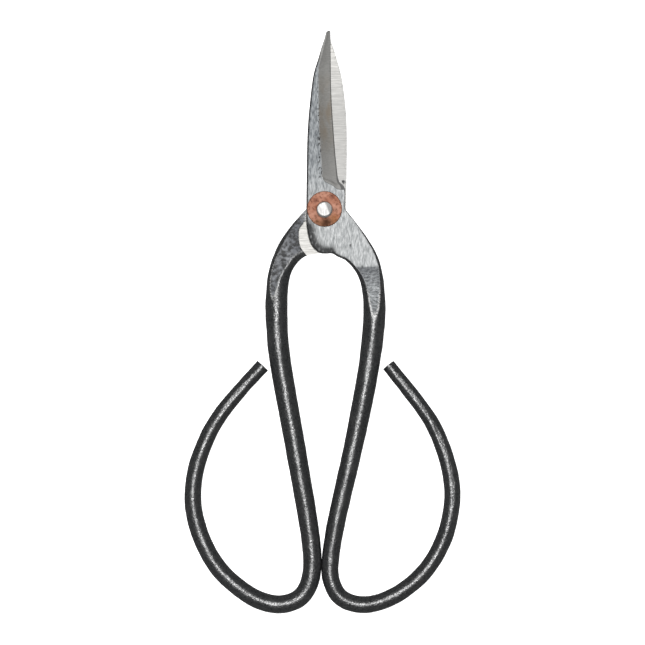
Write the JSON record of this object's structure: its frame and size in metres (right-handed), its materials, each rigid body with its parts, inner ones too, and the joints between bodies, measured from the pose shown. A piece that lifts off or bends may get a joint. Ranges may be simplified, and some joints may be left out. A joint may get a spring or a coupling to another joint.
{
  "type": "floral snips",
  "caption": "Hand-forged snips for flowers and stems: crossed short blades riveted through washers, with large bent-bar finger loops.",
  "frame": {"origin": "pivot axis at the flat end of the rear rivet head, the lowest point of the snips lying flat", "axes": "+Z along the pivot axis from the rear half to the front half, +Y to the blade tips, +X to the front half's handle"},
  "size_m": [0.094, 0.2, 0.0088],
  "materials": {
    "front_forging": "black forge scale on the handle, ground bright on the cheek and blade",
    "rear_forging": "black forge scale on the handle, ground bright on the cheek and blade",
    "rivet_steel": "filed bright",
    "washer_copper": "tarnished copper"
  },
  "bodies": {
    "rear_side": {"rear_half": "rear_forging", "pivot_rivet": "rivet_steel", "front_washer": "washer_copper", "rear_washer": "washer_copper"},
    "front_side": {"front_half": "front_forging"}
  },
  "joints": [
    {"name": "pivot", "type": "hinge", "parent": "rear_side", "child": "front_side", "pos_m": [0, 0, 0.0044], "axis": [0, 0, 1], "range_deg": [0, 55]}
  ]
}
